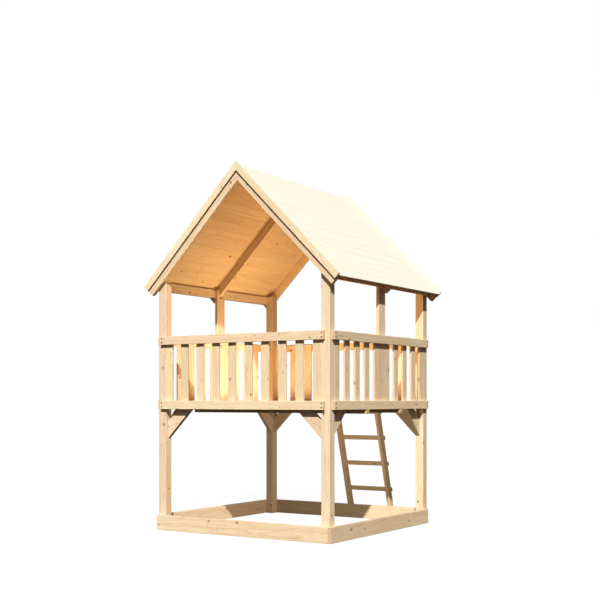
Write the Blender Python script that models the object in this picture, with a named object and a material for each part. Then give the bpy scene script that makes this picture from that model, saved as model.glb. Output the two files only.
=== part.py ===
"""Wooden play tower: four square posts carry a platform, a slatted railing and a steep boarded roof.
A sand pit frame lies round the foot, and a ladder leans against the back.

Metres, +Z up. The front faces -Y and +X is to the right seen from the front. The origin lies on the
ground, in the middle of the rectangle that the whole tower covers, ladder included.
"""

import math
from collections import namedtuple

import bmesh
import bpy
from mathutils import Vector

# Fit between pieces that touch, and the rounding of a planed edge
SEAT = 0.0003
ARRIS = 0.0025

# Corner posts and the square that their outer faces stand on
POST = 0.090
WIDTH = 1.990
DEPTH = 1.990
POST_HEIGHT = 2.472

# Boards of the sand pit frame
BASE_THICKNESS = 0.034
BASE_HEIGHT = 0.149

# Rails on the posts' outer faces; each side has a lower and an upper one
RAIL_THICKNESS = 0.034
RAIL_HEIGHT = 0.0825
LOWER_RAIL_TOP = 1.285
UPPER_RAIL_TOP = 1.9225
FRONT_RAIL_INSET = 0.047
SIDE_RAIL_INSET = 0.033

# Railing slats behind the rails, and those left out at the back for the way in
SLAT_WIDTH = 0.087
SLAT_THICKNESS = 0.020
SLAT_END_INSET = 0.008
SLATS_ACROSS = 10
SLATS_PER_HALF_SIDE = 5
ENTRY_SLATS = (5, 6, 7)

# Middle posts of the two sides, forked round the middle rafters
MID_POST_WIDTH = 0.132
MID_POST_THICKNESS = 0.030

# Platform: tongue and groove floor on two joists and four ledgers
FLOOR_THICKNESS = 0.020
FLOOR_BOARDS = 18
FLOOR_CLEARANCE = 0.003
LEDGER_WIDTH = 0.058
JOIST_WIDTH = 0.058
JOIST_TONGUE = 0.038
JOIST_SPACING = 0.690

# Knee braces under the platform, two at each post
BRACE_THICKNESS = 0.045
BRACE_WIDTH = 0.115
BRACE_INSET = 0.038
BRACE_FOOT = 0.914
BRACE_ANGLE = math.radians(45)

# Roof
ROOF_PITCH = math.radians(45)
EAVE_OVERHANG = 0.1067
ROOF_HEEL = 0.027
RAFTER_THICKNESS = 0.045
RAFTER_DEPTH = 0.085
FORK_CLEARANCE = 0.001
DECK_THICKNESS = 0.020
VERGE_THICKNESS = 0.020
VERGE_WIDTH = 0.066
VERGE_DROP = 0.021
PLATE_THICKNESS = 0.034
PLATE_HEIGHT = RAIL_HEIGHT

# Tongue and groove boarding: the cover width of a roof board, and the V that shows at each joint
ROOF_COVER = 0.1065
GROOVE_WIDTH = 0.007
GROOVE_DEPTH = 0.0035

# Ladder at the way in
LADDER_WIDTH = 0.540
LADDER_LEAN = math.radians(16.3)
STILE_THICKNESS = 0.030
STILE_DEPTH = 0.090
RUNG_HEIGHT = 0.045
RUNG_THICKNESS = 0.028
RUNG_RISE = 0.290
RUNGS = 4

# Colours of sunlit planed spruce, as linear red, green and blue
POST_COLOUR = (0.77, 0.57, 0.34)
RAIL_COLOUR = (0.79, 0.61, 0.38)
SLAT_COLOUR = (0.81, 0.63, 0.40)
ROOF_COLOUR = (0.74, 0.53, 0.30)
FLOOR_COLOUR = (0.68, 0.48, 0.27)
LADDER_COLOUR = (0.72, 0.52, 0.30)
WOOD_ROUGHNESS = 0.62

# Rails stand one seat off the posts, and the slats, fused to the upper rails, lie in the same plane
RAIL_BACK = SEAT
RAIL_FACE = RAIL_BACK + RAIL_THICKNESS
LOWER_RAIL_BACK = RAIL_BACK + SEAT
LOWER_RAIL_FACE = LOWER_RAIL_BACK + RAIL_THICKNESS
LOWER_RAIL_BOTTOM = LOWER_RAIL_TOP - RAIL_HEIGHT
UPPER_RAIL_BOTTOM = UPPER_RAIL_TOP - RAIL_HEIGHT
SLAT_BACK = RAIL_BACK - SLAT_THICKNESS
FLOOR_BOTTOM = LOWER_RAIL_TOP - FLOOR_THICKNESS

# How far the gables stand out in front of the posts, and the ladder's foot behind them
RAFTER_FACE = SEAT + RAFTER_THICKNESS
VERGE_FACE = RAFTER_FACE + SEAT + VERGE_THICKNESS
LADDER_HEAD = LOWER_RAIL_FACE + SEAT
LADDER_FOOT = LADDER_HEAD + LOWER_RAIL_BOTTOM * math.tan(LADDER_LEAN)
LADDER_HEEL = LADDER_FOOT + STILE_DEPTH / math.cos(LADDER_LEAN)

TOWER_Y = (VERGE_FACE - LADDER_HEEL) / 2
LEFT = -WIDTH / 2
RIGHT = WIDTH / 2
FRONT = TOWER_Y - DEPTH / 2
BACK = TOWER_Y + DEPTH / 2

# Underside of the roof boards where the two slopes meet, and its length from there down to the eave
RIDGE = POST_HEIGHT + ROOF_HEEL + WIDTH / 2 * math.tan(ROOF_PITCH)
ROOF_SLOPE = (WIDTH / 2 + EAVE_OVERHANG) / math.cos(ROOF_PITCH)

Side = namedtuple("Side", "name axis centre half face outward")
SIDES = (
    Side("front", 0, 0.0, WIDTH / 2, FRONT, -1),
    Side("back", 0, 0.0, WIDTH / 2, BACK, 1),
    Side("left", 1, TOWER_Y, DEPTH / 2, LEFT, -1),
    Side("right", 1, TOWER_Y, DEPTH / 2, RIGHT, 1),
)


def clear_scene():
    for obj in list(bpy.data.objects):
        bpy.data.objects.remove(obj, do_unlink=True)


def finish(obj, colour):
    """Gives a piece its own wood, in the colour that this kind of piece has."""
    material = bpy.data.materials.new(obj.name + "_wood")
    material.use_nodes = True
    shader = material.node_tree.nodes["Principled BSDF"]
    shader.inputs["Base Color"].default_value = (*colour, 1.0)
    shader.inputs["Roughness"].default_value = WOOD_ROUGHNESS
    shader.inputs["Metallic"].default_value = 0.0
    material.diffuse_color = (*colour, 1.0)
    obj.data.materials.append(material)


def ease_edges(obj, width=ARRIS):
    """Rounds the sharp edges, as a planed board has them."""
    bevel = obj.modifiers.new("eased edges", "BEVEL")
    bevel.width = width
    bevel.segments = 1
    bevel.limit_method = "ANGLE"
    bevel.angle_limit = math.radians(35)


def prism(name, outline, axis, start, end):
    """A closed solid: the outline, in the two directions other than the axis, drawn out from start to end."""
    others = [i for i in range(3) if i != axis]
    body = bmesh.new()
    corners = []
    for first, second in outline:
        place = [0.0, 0.0, 0.0]
        place[axis] = start
        place[others[0]] = first
        place[others[1]] = second
        corners.append(body.verts.new(place))
    face = body.faces.new(corners)
    grown = bmesh.ops.extrude_face_region(body, geom=[face])
    moved = [item for item in grown["geom"] if isinstance(item, bmesh.types.BMVert)]
    step = Vector((0.0, 0.0, 0.0))
    step[axis] = end - start
    bmesh.ops.translate(body, verts=moved, vec=step)
    bmesh.ops.recalc_face_normals(body, faces=body.faces)
    middle = sum((vert.co for vert in body.verts), Vector()) / len(body.verts)
    bmesh.ops.translate(body, verts=body.verts, vec=-middle)
    mesh = bpy.data.meshes.new(name)
    body.to_mesh(mesh)
    body.free()
    obj = bpy.data.objects.new(name, mesh)
    obj.location = middle
    bpy.context.scene.collection.objects.link(obj)
    return obj


def board(name, x, y, z):
    """A straight board between two values in each direction."""
    return prism(name, [(x[0], y[0]), (x[1], y[0]), (x[1], y[1]), (x[0], y[1])], 2, z[0], z[1])


def side_board(name, side, along, out, up):
    """A board of one side: along it from its middle, outwards from the posts' faces, and up."""
    length = (side.centre + along[0], side.centre + along[1])
    across = sorted((side.face + side.outward * out[0], side.face + side.outward * out[1]))
    if side.axis == 0:
        return board(name, length, across, up)
    return board(name, across, length, up)


def as_helper(obj):
    """Keeps a solid out of the model: it only shapes another one."""
    obj.hide_render = True
    obj.display_type = "WIRE"
    return obj


def shape_with(obj, helper, operation):
    """Adds the helper to a solid or takes it away."""
    as_helper(helper)
    boolean = obj.modifiers.new(operation.lower() + " " + helper.name, "BOOLEAN")
    boolean.operation = operation
    boolean.solver = "EXACT"
    boolean.object = helper


def slope_point(side, along, above):
    """A point of the gable, from its place down a roof slope and its height square above the roof boards' underside."""
    run = along * math.cos(ROOF_PITCH) + above * math.sin(ROOF_PITCH)
    fall = along * math.sin(ROOF_PITCH) - above * math.cos(ROOF_PITCH)
    return side * run, RIDGE - fall


def ridge_cut(side, above):
    """The same for the plumb cut where the two slopes meet, half a seat off the middle."""
    off = SEAT / 2
    return side * off, RIDGE + above / math.cos(ROOF_PITCH) - off * math.tan(ROOF_PITCH)


def slope_outline(side, end, low, high):
    """Outline of a roof timber from the ridge to its square end, between two heights square to the slope."""
    return [
        ridge_cut(side, high),
        slope_point(side, end, high),
        slope_point(side, end, low),
        ridge_cut(side, low),
    ]


def slat_places(side):
    """Where each slat of a side starts, measured along it from its middle."""
    clear = side.half - POST
    if side.axis == 0:
        pitch = (2 * clear - SLAT_WIDTH) / (SLATS_ACROSS - 1)
        starts = [-clear + i * pitch for i in range(SLATS_ACROSS)]
        if side.name == "back":
            starts = [start for i, start in enumerate(starts, 1) if i not in ENTRY_SLATS]
        return starts
    pitch = (clear - MID_POST_WIDTH / 2 - SLAT_WIDTH) / (SLATS_PER_HALF_SIDE - 1)
    near = [-clear + i * pitch for i in range(SLATS_PER_HALF_SIDE)]
    return near + [-start - SLAT_WIDTH for start in reversed(near)]


def entry_edges():
    """The slats' edges left and right of the way in, measured from the tower's middle."""
    starts = slat_places(SIDES[1])
    left = ENTRY_SLATS[0] - 2
    return starts[left] + SLAT_WIDTH, starts[left + 1]


def make_posts():
    for across, x in (("left", LEFT), ("right", RIGHT - POST)):
        for along, y in (("front", FRONT), ("back", BACK - POST)):
            post = board(f"post_{along}_{across}", (x, x + POST), (y, y + POST), (0.0, POST_HEIGHT))
            ease_edges(post)
            finish(post, POST_COLOUR)


def make_base():
    """The sand pit frame: four boards, each as long as its side of the tower. The right one lies further forward
    and covers the front board's end, and the left one lies further back and covers the back board's end."""
    for side in SIDES:
        shift = -side.outward * (SEAT + BASE_THICKNESS) if side.axis else 0.0
        piece = side_board(
            f"base_board_{side.name}",
            side,
            (shift - side.half, shift + side.half),
            (SEAT, SEAT + BASE_THICKNESS),
            (0.0, BASE_HEIGHT),
        )
        ease_edges(piece)
        finish(piece, RAIL_COLOUR)


def make_railings():
    """Each upper rail with the slats that hang from it, and the lower rail in front of their feet."""
    for side in SIDES:
        reach = side.half - (SIDE_RAIL_INSET if side.axis else FRONT_RAIL_INSET)
        lower = side_board(
            f"lower_rail_{side.name}",
            side,
            (-reach, reach),
            (LOWER_RAIL_BACK, LOWER_RAIL_FACE),
            (LOWER_RAIL_BOTTOM, LOWER_RAIL_TOP),
        )
        ease_edges(lower)
        finish(lower, RAIL_COLOUR)
        railing = side_board(
            f"railing_{side.name}",
            side,
            (-reach, reach),
            (RAIL_BACK, RAIL_FACE),
            (UPPER_RAIL_BOTTOM, UPPER_RAIL_TOP),
        )
        ease_edges(railing)
        for number, start in enumerate(slat_places(side), 1):
            slat = side_board(
                f"slat_{side.name}_{number}",
                side,
                (start + SEAT, start + SLAT_WIDTH - SEAT),
                (SLAT_BACK, RAIL_BACK),
                (LOWER_RAIL_BOTTOM + SLAT_END_INSET, UPPER_RAIL_TOP - SLAT_END_INSET),
            )
            ease_edges(slat)
            shape_with(railing, slat, "UNION")
        finish(railing, SLAT_COLOUR)


def make_mid_posts():
    """A board up each side, forked at the top: the middle rafter passes through and rests on its outer edge."""
    fork_half = RAFTER_THICKNESS / 2 + FORK_CLEARANCE
    fork_floor = POST_HEIGHT + ROOF_HEEL - (RAFTER_DEPTH + SEAT) / math.cos(ROOF_PITCH)
    for side in SIDES[2:]:
        post = side_board(
            f"mid_post_{side.name}",
            side,
            (-MID_POST_WIDTH / 2, MID_POST_WIDTH / 2),
            (-MID_POST_THICKNESS, 0.0),
            (LOWER_RAIL_BOTTOM, POST_HEIGHT),
        )
        ease_edges(post)
        fork = side_board(
            f"fork_{side.name}",
            side,
            (-fork_half, fork_half),
            (-POST, POST),
            (fork_floor, POST_HEIGHT + POST),
        )
        shape_with(post, fork, "DIFFERENCE")
        finish(post, POST_COLOUR)


def make_platform():
    """Ledgers inside the railing, two joists that run out under them and the side rails, and the floor."""
    ledger_top = FLOOR_BOTTOM - SEAT
    for side in SIDES:
        inset = MID_POST_THICKNESS if side.axis else -SLAT_BACK
        reach = side.half - POST - SEAT
        ledger = side_board(
            f"floor_ledger_{side.name}",
            side,
            (-reach, reach),
            (-inset - SEAT - LEDGER_WIDTH, -inset - SEAT),
            (LOWER_RAIL_BOTTOM, ledger_top),
        )
        ease_edges(ledger)
        finish(ledger, FLOOR_COLOUR)

    shoulder = RIGHT - MID_POST_THICKNESS - LEDGER_WIDTH - 2 * SEAT
    tip = RIGHT + LOWER_RAIL_FACE
    tongue_top = LOWER_RAIL_BOTTOM - SEAT
    joist_bottom = tongue_top - JOIST_TONGUE
    outline = [
        (-tip, joist_bottom),
        (tip, joist_bottom),
        (tip, tongue_top),
        (shoulder, tongue_top),
        (shoulder, ledger_top),
        (-shoulder, ledger_top),
        (-shoulder, tongue_top),
        (-tip, tongue_top),
    ]
    for name, offset in (("front", -JOIST_SPACING / 2), ("back", JOIST_SPACING / 2)):
        middle = TOWER_Y + offset
        start = middle - JOIST_WIDTH / 2
        joist = prism(f"floor_joist_{name}", outline, 1, start, start + JOIST_WIDTH)
        ease_edges(joist)
        finish(joist, FLOOR_COLOUR)

    make_floor()


def boarding_profile(length, low, high, cover, first_joint):
    """Cross-section of tongue and groove boarding, as (along, up): a V above and below at every joint."""
    joints = []
    place = first_joint
    while place < length - GROOVE_WIDTH:
        if place > GROOVE_WIDTH:
            joints.append(place)
        place += cover
    under = [(0.0, low)]
    over = [(0.0, high)]
    for joint in joints:
        for points, level, depth in ((under, low, GROOVE_DEPTH), (over, high, -GROOVE_DEPTH)):
            points.append((joint - GROOVE_WIDTH / 2, level))
            points.append((joint, level + depth))
            points.append((joint + GROOVE_WIDTH / 2, level))
    under.append((length, low))
    over.append((length, high))
    return under + over[::-1]


def make_floor():
    """Equal boards that run from front to back, cut out round the six posts."""
    edge = -SLAT_BACK + FLOOR_CLEARANCE
    width = WIDTH - 2 * edge
    cover = width / FLOOR_BOARDS
    profile = boarding_profile(width, FLOOR_BOTTOM, LOWER_RAIL_TOP, cover, cover)
    outline = [(LEFT + edge + along, up) for along, up in profile]
    floor = prism("floor_boards", outline, 1, FRONT + edge, BACK - edge)
    hole_up = (FLOOR_BOTTOM - FLOOR_THICKNESS, LOWER_RAIL_TOP + FLOOR_THICKNESS)
    hole = POST + FLOOR_CLEARANCE
    for x in ((LEFT - POST, LEFT + hole), (RIGHT - hole, RIGHT + POST)):
        for y in ((FRONT - POST, FRONT + hole), (BACK - hole, BACK + POST)):
            corner = board(f"floor_corner_{x[0] > 0:d}{y[0] > TOWER_Y:d}", x, y, hole_up)
            shape_with(floor, corner, "DIFFERENCE")
    reach = MID_POST_WIDTH / 2 + FLOOR_CLEARANCE
    for side in SIDES[2:]:
        notch = side_board(
            f"floor_notch_{side.name}",
            side,
            (-reach, reach),
            (-MID_POST_THICKNESS - FLOOR_CLEARANCE, POST),
            hole_up,
        )
        shape_with(floor, notch, "DIFFERENCE")
    finish(floor, FLOOR_COLOUR)


def make_braces():
    """Two braces at each post, from its inner face up to the ledger: a plumb cut below, a level one above."""
    top = LOWER_RAIL_BOTTOM - SEAT
    rise = BRACE_WIDTH / math.cos(BRACE_ANGLE)
    run = 1 / math.tan(BRACE_ANGLE)
    for side in SIDES:
        ends = ("left", "right") if side.axis == 0 else ("front", "back")
        for end, sign in zip(ends, (-1, 1)):
            face = side.half - POST - SEAT
            outline = [
                (face, BRACE_FOOT),
                (face, BRACE_FOOT + rise),
                (face - (top - BRACE_FOOT - rise) * run, top),
                (face - (top - BRACE_FOOT) * run, top),
            ]
            outline = [(side.centre + sign * along, up) for along, up in outline]
            near = side.face - side.outward * BRACE_INSET
            far = near - side.outward * BRACE_THICKNESS
            brace = prism(f"brace_{side.name}_{end}", outline, 1 - side.axis, near, far)
            ease_edges(brace)
            finish(brace, POST_COLOUR)


def make_plates():
    """Wall plates on the outer faces of the side posts, in two lengths with the middle rafter between them.
    Their outer top edge is planed to the slope, so that the roof boards lie on it."""
    under = RIDGE - SEAT / math.cos(ROOF_PITCH)
    flat = (under - POST_HEIGHT) / math.tan(ROOF_PITCH)
    inner = WIDTH / 2 + SEAT
    outer = inner + PLATE_THICKNESS
    heel = under - outer * math.tan(ROOF_PITCH)
    section = [
        (inner, POST_HEIGHT - PLATE_HEIGHT),
        (outer, POST_HEIGHT - PLATE_HEIGHT),
        (outer, heel),
        (flat, POST_HEIGHT),
        (inner, POST_HEIGHT),
    ]
    middle = RAFTER_THICKNESS / 2 + SEAT
    lengths = (("front", FRONT, TOWER_Y - middle), ("back", TOWER_Y + middle, BACK))
    for side in SIDES[2:]:
        outline = [(side.outward * x, z) for x, z in section]
        for name, start, end in lengths:
            plate = prism(f"plate_{side.name}_{name}", outline, 1, start, end)
            ease_edges(plate)
            finish(plate, POST_COLOUR)


def make_roof():
    """Three pairs of rafters, the boarding on them, and the verge boards that cover its ends."""
    deck_low = SEAT
    deck_high = SEAT + DECK_THICKNESS
    half = RAFTER_THICKNESS / 2
    rafters = (
        ("front", FRONT - RAFTER_FACE, FRONT - SEAT),
        ("middle", TOWER_Y - half, TOWER_Y + half),
        ("back", BACK + SEAT, BACK + RAFTER_FACE),
    )
    verges = (
        ("front", FRONT - VERGE_FACE, FRONT - RAFTER_FACE - SEAT),
        ("back", BACK + RAFTER_FACE + SEAT, BACK + VERGE_FACE),
    )
    for side, hand in ((-1, "left"), (1, "right")):
        for name, start, end in rafters:
            outline = slope_outline(side, ROOF_SLOPE, -RAFTER_DEPTH, 0.0)
            rafter = prism(f"rafter_{name}_{hand}", outline, 1, start, end)
            ease_edges(rafter)
            finish(rafter, ROOF_COLOUR)

        joint = ROOF_SLOPE % ROOF_COVER
        profile = boarding_profile(ROOF_SLOPE, deck_low, deck_high, ROOF_COVER, joint)
        outline = [
            ridge_cut(side, above) if along == 0.0 else slope_point(side, along, above)
            for along, above in profile
        ]
        deck = prism(f"roof_boards_{hand}", outline, 1, FRONT - RAFTER_FACE, BACK + RAFTER_FACE)
        finish(deck, ROOF_COLOUR)

        for name, start, end in verges:
            outline = slope_outline(side, ROOF_SLOPE, -VERGE_DROP, VERGE_WIDTH - VERGE_DROP)
            verge = prism(f"verge_board_{name}_{hand}", outline, 1, start, end)
            ease_edges(verge)
            finish(verge, ROOF_COLOUR)


def make_ladder():
    """Two stiles that stand on the ground and lean on the lower rail, and rungs across their outer edges."""
    lean = math.tan(LADDER_LEAN)
    top = LOWER_RAIL_TOP
    stile_outline = [
        (BACK + LADDER_FOOT, 0.0),
        (BACK + LADDER_HEEL, 0.0),
        (BACK + LADDER_HEEL - lean * top, top),
        (BACK + LADDER_HEAD, top),
        (BACK + LADDER_HEAD, LOWER_RAIL_BOTTOM),
    ]
    entry = entry_edges()
    middle = (entry[0] + entry[1]) / 2
    outer = LADDER_WIDTH / 2
    for name, start in (("left", middle - outer), ("right", middle + outer - STILE_THICKNESS)):
        stile = prism(f"ladder_stile_{name}", stile_outline, 0, start, start + STILE_THICKNESS)
        ease_edges(stile)
        finish(stile, LADDER_COLOUR)

    up = Vector((-math.sin(LADDER_LEAN), math.cos(LADDER_LEAN)))
    outwards = Vector((math.cos(LADDER_LEAN), math.sin(LADDER_LEAN)))
    for number in range(1, RUNGS + 1):
        height = number * RUNG_RISE
        seat = Vector((BACK + LADDER_HEEL - lean * height, height)) + outwards * SEAT
        half = up * (RUNG_HEIGHT / 2)
        outline = [
            seat - half,
            seat - half + outwards * RUNG_THICKNESS,
            seat + half + outwards * RUNG_THICKNESS,
            seat + half,
        ]
        rung = prism(f"ladder_rung_{number}", outline, 0, middle - outer, middle + outer)
        ease_edges(rung)
        finish(rung, LADDER_COLOUR)


clear_scene()
make_posts()
make_base()
make_railings()
make_mid_posts()
make_platform()
make_braces()
make_plates()
make_roof()
make_ladder()
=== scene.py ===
# %% [markdown]
# # A wooden play tower
# Four square posts carry a platform with slatted railings and a steep gable roof of boards. This lesson takes
# the tower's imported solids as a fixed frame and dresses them: every timber becomes a planed board with eased
# edges and its own grain, the fused railings become separate slats, and the roof and the floor become
# separate tongue and groove boards.

import math

import bpy
import numpy as np
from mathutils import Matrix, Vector


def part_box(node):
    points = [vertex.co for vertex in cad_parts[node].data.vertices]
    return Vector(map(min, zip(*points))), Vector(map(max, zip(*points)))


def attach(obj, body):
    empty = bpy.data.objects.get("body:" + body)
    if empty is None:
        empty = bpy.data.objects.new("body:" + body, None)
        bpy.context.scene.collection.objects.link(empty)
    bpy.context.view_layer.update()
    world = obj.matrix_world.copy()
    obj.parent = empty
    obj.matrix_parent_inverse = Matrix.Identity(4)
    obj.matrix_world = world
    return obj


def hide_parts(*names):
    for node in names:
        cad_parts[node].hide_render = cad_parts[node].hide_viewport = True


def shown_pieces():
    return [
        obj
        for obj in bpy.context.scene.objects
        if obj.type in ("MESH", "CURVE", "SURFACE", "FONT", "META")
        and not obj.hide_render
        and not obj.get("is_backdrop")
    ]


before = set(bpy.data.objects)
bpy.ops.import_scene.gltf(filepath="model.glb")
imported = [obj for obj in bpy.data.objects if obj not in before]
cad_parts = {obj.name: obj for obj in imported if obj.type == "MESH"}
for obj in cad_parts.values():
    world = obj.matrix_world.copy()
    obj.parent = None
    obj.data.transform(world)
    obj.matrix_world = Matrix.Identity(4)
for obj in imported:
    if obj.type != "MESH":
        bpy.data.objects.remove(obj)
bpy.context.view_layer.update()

# %% [markdown]
# ## Reading sizes from the frame
# The solids already hold every size of the tower, so a board is laid where its solid lies. One helper gives
# the corners of a solid as arrays, another its two ends along one axis. The tower's main lines follow from the
# corner posts: their outer faces form a square. Solids that rest on each other lie 0.3 mm apart, here called
# the seat.


# %% The tower's main lines
def corners(node):
    """The lowest and the highest corner of a solid, as two arrays."""
    low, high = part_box(node)
    return np.array(low), np.array(high)


def span(node, axis):
    """Where a solid starts and ends along an axis."""
    low, high = corners(node)
    return float(low[axis]), float(high[axis])


SEAT = 0.0003
near_left, post_top = corners("post_front_left")
POST = float(post_top[0] - near_left[0])
LEFT, FRONT = float(near_left[0]), float(near_left[1])
RIGHT, BACK = (float(value) for value in corners("post_back_right")[1][:2])
TOWER_Y = (FRONT + BACK) / 2
POST_HEIGHT = float(post_top[2])
print(f"posts {POST * 1000:.0f} mm square, {POST_HEIGHT:.3f} m high, {RIGHT - LEFT:.3f} m apart over all")

# %% [markdown]
# ## Colours
# A colour is written as a hex number, as on a paint card. Light adds up in linear numbers, so
# one function turns the one into the other.


# %% Hex to linear colour
def linear(code):
    """Each of the three hex pairs, as a share of 255, through the curve that screens use."""
    share = np.array([int(code[i : i + 2], 16) for i in (1, 3, 5)]) / 255
    rgb = np.where(share <= 0.04045, share / 12.92, ((share + 0.055) / 1.055) ** 2.4)
    return (*rgb.tolist(), 1.0)


print("cream", [round(value, 3) for value in linear("#e8cca4")])

# %% [markdown]
# ## One helper for shader nodes
# A finish is a chain of nodes. Each call adds one node, sets its properties, and fills its inputs with
# numbers or with what another node gives: a list in their order, or a dict by number or name. The mixing node
# has several inputs of the same name, so it is filled by number: 0 is the share, 6 and 7 are its two colours,
# and 2 is the colour that comes out. A range node takes a value, turns the span between the next two numbers
# into the span between the last two, and holds it there.


# %% Add a node
def add(tree, kind, inputs, operation=None, **settings):
    node = tree.nodes.new("ShaderNode" + kind)
    if operation:
        node.operation = operation
    for key, value in settings.items():
        setattr(node, key, value)
    for key, value in inputs.items() if isinstance(inputs, dict) else enumerate(inputs):
        if isinstance(value, bpy.types.NodeSocket):
            tree.links.new(value, node.inputs[key])
        else:
            node.inputs[key].default_value = value
    return node.outputs


def bare_material(name):
    """A material and its node tree, still empty."""
    material = bpy.data.materials.new(name)
    material.use_nodes = True
    material.node_tree.nodes.clear()
    return material, material.node_tree


MIX_SHARE, MIX_FROM, MIX_TO, MIX_OUT = 0, 6, 7, 2

# %% [markdown]
# ## Planed spruce: where a point lies in its board
# All timber here is Nordic spruce, sawn from the log, dried and planed. The pattern belongs to each board and
# not to the tower: it runs along a brace that stands at 45 degrees, and two neighbouring slats never match. So
# every board carries two attributes, written when it is made. "grain" is the place inside the board in
# metres, along the grain, across it and through the board. "marks" holds the board's number, how near a
# point is to an arris (the rounded long edge), and which side of the board it shows: 1 on a cut end, 0 on a
# wide face, -1 on a narrow one.


# %% Place in the board
BOARD_STEP = (1.37, 0.73, 0.41)


def board_place(tree):
    """The place in the board, the same place moved on by the board's number, the marks, and three random
    numbers that are the same all over one board."""
    own = add(tree, "Attribute", {}, attribute_name="grain")["Vector"]
    marks = add(tree, "SeparateXYZ", [add(tree, "Attribute", {}, attribute_name="marks")["Vector"]])
    number = add(tree, "Math", [marks["X"]], "ROUND")[0]
    step = add(tree, "VectorMath", {0: BOARD_STEP, "Scale": number}, "SCALE")[0]
    place = add(tree, "VectorMath", [own, step], "ADD")[0]
    luck = add(tree, "TexWhiteNoise", {"W": number}, noise_dimensions="1D")["Color"]
    return own, place, marks, luck


# %% [markdown]
# ## Planed spruce: knots
# A branch leaves a round brown knot with a darker rim, up to 17 mm across, every few hands along a board, with
# pin knots between. Those are 3 to 5 mm across, too small for a picture in which a pixel is 9 mm, so they are
# drawn up to 8 mm across. A cell pattern gives one point in each cell of real size. The distance to it is
# measured in metres, so a knot stays nearly round, and a random number of the cell says whether it holds a
# knot and how large. The cells lie in the board's wide face. On its narrow faces the depth in the board takes
# the place of the way across, so knots are round there too.


# %% Knots
KNOTS = ((0.30, 0.11), 0.55, 0.0085, 0.0015)
PIN_KNOTS = ((0.11, 0.045), 0.46, 0.0042, 0.001)
KNOT_STRETCH = 1.35


def knots(tree, place, cell, share, radius, rim):
    """How far a point is from its cell's knot, that knot's radius, and a mask of it. cell is the cell's length
    and width, share the share of cells with a knot, radius that of the largest, and rim the width over which a
    knot's edge blends in."""
    scaled = add(tree, "VectorMath", [place, (1 / cell[0], 1 / cell[1], 0)], "MULTIPLY")[0]
    found = add(tree, "TexVoronoi", {"Vector": scaled, "Scale": 1.0}, voronoi_dimensions="2D")
    away = add(tree, "VectorMath", [scaled, found["Position"]], "SUBTRACT")[0]
    real = (cell[0] / KNOT_STRETCH, cell[1], 0)
    metres = add(tree, "VectorMath", [away, real], "MULTIPLY")[0]
    distance = add(tree, "VectorMath", [metres], "LENGTH")["Value"]
    dice = add(tree, "SeparateXYZ", [found["Color"]])["X"]
    size = add(tree, "MapRange", [dice, 1 - share, 1.0, 0.0, radius])[0]
    inside = add(tree, "Math", [size, distance], "SUBTRACT")[0]
    mask = add(tree, "Math", [inside, 1 / rim], "MULTIPLY", use_clamp=True)[0]
    return distance, size, mask


# %% [markdown]
# ## Planed spruce: growth rings
# A log is a stack of cones, one for each year: pale wood grown in spring and a narrow brown line of late wood.
# A board shows where its faces cut them: straight lines near its edges and long pointed arches in the
# middle. So the rings are worked out as in a log: the distance from the pith, which lies at a random depth
# below each board, made a little larger along the board (the log tapers), bent by slow noise and pushed
# aside by knots. Real rings are 2 to 4 mm wide, too fine for a picture in which a pixel is 9 mm, so they are
# drawn 6 mm wide.


# %% Growth rings
RING = 0.006
PITH_SPREAD, PITH_LOWEST = (0, 0.14, 0.10), (0, -0.07, -0.15)
BENDS_PER_METRE = (1.3, 8, 8)
BEND, TAPER, KNOT_PUSH = 0.045, 0.007, 0.010
LATE_SHARPNESS, LATE_END = 2.4, 0.90


def growth_rings(tree, own, place, luck, near_knot):
    """0 in the pale spring wood, rising to 1 in the late wood: the share of a ring's width that lies behind a
    point, to a power, which keeps it low for most of the ring."""
    pith = add(tree, "VectorMath", [luck, PITH_SPREAD, PITH_LOWEST], "MULTIPLY_ADD")[0]
    radial = add(tree, "VectorMath", [own, pith], "SUBTRACT")[0]
    square = add(tree, "VectorMath", [radial, (0, 1, 1)], "MULTIPLY")[0]
    distance = add(tree, "VectorMath", [square], "LENGTH")["Value"]
    bent = add(tree, "VectorMath", [place, BENDS_PER_METRE], "MULTIPLY")[0]
    wander = add(tree, "TexNoise", {"Vector": bent, "Scale": 1.0, "Detail": 2.0})[0]
    distance = add(tree, "Math", [wander, BEND, distance], "MULTIPLY_ADD")[0]
    along = add(tree, "SeparateXYZ", [own])["X"]
    distance = add(tree, "Math", [along, TAPER, distance], "MULTIPLY_ADD")[0]
    distance = add(tree, "Math", [near_knot, KNOT_PUSH, distance], "MULTIPLY_ADD")[0]
    rings = add(tree, "Math", [distance, RING], "DIVIDE")[0]
    year = add(tree, "Math", [rings], "FRACT")[0]
    rising = add(tree, "Math", [year, LATE_SHARPNESS], "POWER")[0]
    ending = add(tree, "MapRange", [year, LATE_END, 1.0, 1.0, 0.0])[0]
    return add(tree, "Math", [rising, ending], "MULTIPLY")[0]
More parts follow.
